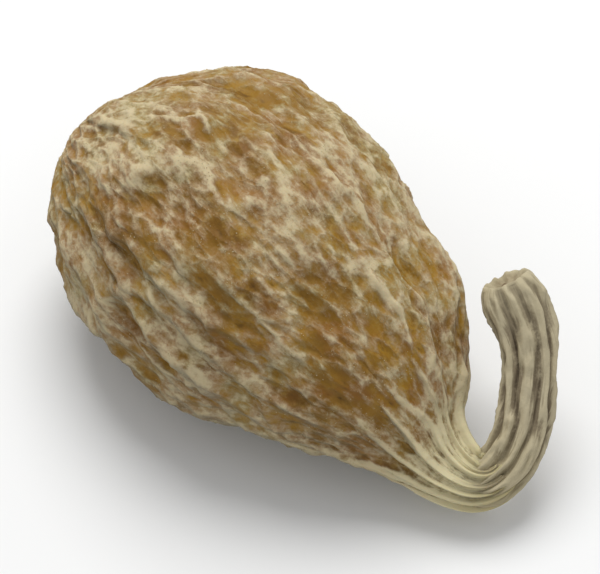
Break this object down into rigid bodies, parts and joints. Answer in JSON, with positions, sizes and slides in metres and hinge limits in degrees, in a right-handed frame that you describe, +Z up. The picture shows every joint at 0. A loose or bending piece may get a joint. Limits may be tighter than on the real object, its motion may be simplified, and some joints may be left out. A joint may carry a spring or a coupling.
{
  "type": "dried fig",
  "caption": "Whole dried fig lying on its side: a flattened pear-shaped fruit with shrunken, netted skin, a closed eye at the blunt end and a short curled stalk at the neck.",
  "frame": {"origin": "on the surface it rests on, under the middle of the part's box", "axes": "+X from the eye at the blunt end towards the neck, +Z up"},
  "size_m": [0.0464, 0.0288, 0.0232],
  "materials": {
    "skin": "dry, leathery amber skin with a floury bloom on its ridges",
    "stalk": "dry, dull, woody and ribbed"
  },
  "bodies": {
    "root": {"fruit": "skin", "stalk": "stalk"}
  },
  "joints": []
}
